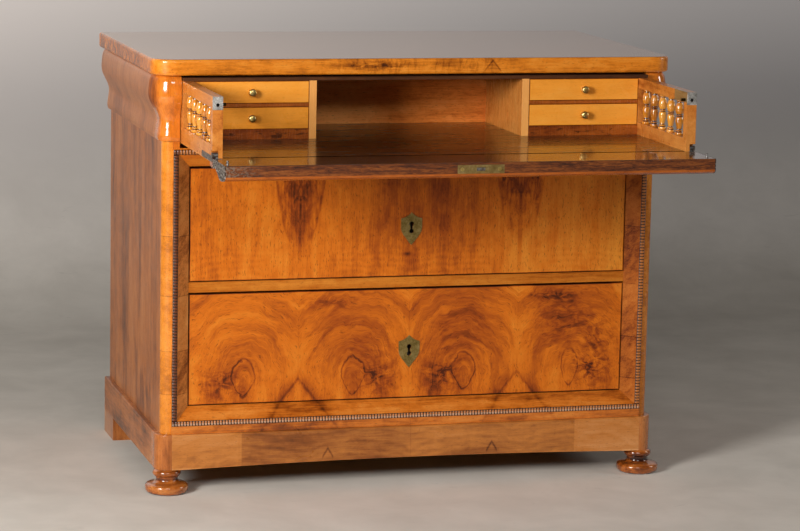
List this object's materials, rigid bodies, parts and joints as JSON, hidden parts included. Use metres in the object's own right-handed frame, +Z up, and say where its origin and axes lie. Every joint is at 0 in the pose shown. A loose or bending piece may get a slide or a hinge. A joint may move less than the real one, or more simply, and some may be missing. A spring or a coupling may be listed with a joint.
{
  "type": "secretaire chest",
  "caption": "Secretaire chest with long drawers below, and a pulled-out writing drawer with a let-down fall, turned galleries and small inner drawers under a moulded top.",
  "frame": {"origin": "middle of the footprint of the open piece, on the floor", "axes": "+X to the right along the front, +Y to the back, +Z up"},
  "size_m": [1.185, 1.109, 0.95],
  "materials": {
    "case_veneer": "french-polished figured veneer",
    "drawer_veneer": "polished veneer, darker than the case",
    "ripple_wood": "dark polished ripple moulding",
    "pale_maple": "polished pale veneer",
    "carcass_softwood": "plain planed wood, aged",
    "old_brass": "dull, greenish in its hollows",
    "grey_steel": "dull grey, worn",
    "dark_button": "darkened"
  },
  "bodies": {
    "carcass": {"top_board": "case_veneer", "side_panel_left": "case_veneer", "side_panel_right": "case_veneer", "side_friezes": "case_veneer", "corner_cushion_left": "case_veneer", "corner_cushion_right": "case_veneer", "corner_posts": "case_veneer", "frame_top_rail": "case_veneer", "frame_bottom_rail": "case_veneer", "frame_stile_left": "case_veneer", "frame_stile_right": "case_veneer", "ripple_moulding": "ripple_wood", "divider_rail": "case_veneer", "back_panel": "carcass_softwood", "dust_boards": "carcass_softwood", "drawer_guides": "carcass_softwood", "secretaire_guides": "carcass_softwood", "plinth_front": "case_veneer", "plinth_corners": "case_veneer", "plinth_boards": "case_veneer", "bun_feet": "case_veneer", "rear_feet": "case_veneer"},
    "secretaire_drawer": {"writing_board": "drawer_veneer", "secretaire_side_left": "drawer_veneer", "secretaire_side_right": "drawer_veneer", "balusters_left": "drawer_veneer", "balusters_right": "drawer_veneer", "secretaire_back": "carcass_softwood", "nest_frame": "drawer_veneer", "nest_top": "drawer_veneer", "hinge_straps": "grey_steel", "catch_plates": "grey_steel", "catch_covers": "drawer_veneer"},
    "fall": {"fall_front": "case_veneer", "fall_end_plates": "grey_steel", "fall_hinge_leaves": "grey_steel", "fall_lock": "old_brass", "lock_plate_screws": "old_brass", "striker_studs": "grey_steel"},
    "fall_lock_bolt": {"fall_bolt": "grey_steel"},
    "left_catch_button": {"catch_button_left": "dark_button"},
    "right_catch_button": {"catch_button_right": "dark_button"},
    "lower_left_small_drawer": {"small_drawer_lower_left": "pale_maple", "small_knob_lower_left": "old_brass"},
    "lower_right_small_drawer": {"small_drawer_lower_right": "pale_maple", "small_knob_lower_right": "old_brass"},
    "upper_left_small_drawer": {"small_drawer_upper_left": "pale_maple", "small_knob_upper_left": "old_brass"},
    "upper_right_small_drawer": {"small_drawer_upper_right": "pale_maple", "small_knob_upper_right": "old_brass"},
    "lower_long_drawer": {"lower_drawer_front": "case_veneer", "lower_drawer_box": "carcass_softwood", "lower_escutcheon": "old_brass", "lower_drawer_lock": "grey_steel"},
    "lower_lock_bolt": {"lower_drawer_bolt": "grey_steel"},
    "upper_long_drawer": {"upper_drawer_front": "case_veneer", "upper_drawer_box": "carcass_softwood", "upper_escutcheon": "old_brass", "upper_drawer_lock": "grey_steel"},
    "upper_lock_bolt": {"upper_drawer_bolt": "grey_steel"}
  },
  "joints": [
    {"name": "secretaire_slide", "type": "slide", "parent": "carcass", "child": "secretaire_drawer", "axis": [0, 1, 0], "range_m": [0, 0.346]},
    {"name": "fall_hinge", "type": "hinge", "parent": "secretaire_drawer", "child": "fall", "pos_m": [0, -0.4265, 0.784], "axis": [-1, 0, 0], "range_deg": [0, 90]},
    {"name": "fall_bolt_slide", "type": "slide", "parent": "fall", "child": "fall_lock_bolt", "axis": [0, -1, 0], "range_m": [0, 0.009]},
    {"name": "catch_button_left_push", "type": "slide", "parent": "secretaire_drawer", "child": "left_catch_button", "axis": [-1, 0, 0], "range_m": [0, 0.003], "stiffness_N_per_m": 300},
    {"name": "catch_button_right_push", "type": "slide", "parent": "secretaire_drawer", "child": "right_catch_button", "axis": [1, 0, 0], "range_m": [0, 0.003], "stiffness_N_per_m": 300},
    {"name": "lower_left_small_drawer_slide", "type": "slide", "parent": "secretaire_drawer", "child": "lower_left_small_drawer", "axis": [0, -1, 0], "range_m": [0, 0.2]},
    {"name": "lower_right_small_drawer_slide", "type": "slide", "parent": "secretaire_drawer", "child": "lower_right_small_drawer", "axis": [0, -1, 0], "range_m": [0, 0.2]},
    {"name": "upper_left_small_drawer_slide", "type": "slide", "parent": "secretaire_drawer", "child": "upper_left_small_drawer", "axis": [0, -1, 0], "range_m": [0, 0.2]},
    {"name": "upper_right_small_drawer_slide", "type": "slide", "parent": "secretaire_drawer", "child": "upper_right_small_drawer", "axis": [0, -1, 0], "range_m": [0, 0.2]},
    {"name": "lower_long_drawer_slide", "type": "slide", "parent": "carcass", "child": "lower_long_drawer", "axis": [0, -1, 0], "range_m": [0, 0.4]},
    {"name": "lower_lock_bolt_slide", "type": "slide", "parent": "lower_long_drawer", "child": "lower_lock_bolt", "axis": [0, 0, 1], "range_m": [0, 0.009]},
    {"name": "upper_long_drawer_slide", "type": "slide", "parent": "carcass", "child": "upper_long_drawer", "axis": [0, -1, 0], "range_m": [0, 0.4]},
    {"name": "upper_lock_bolt_slide", "type": "slide", "parent": "upper_long_drawer", "child": "upper_lock_bolt", "axis": [0, 0, 1], "range_m": [0, 0.009]}
  ]
}
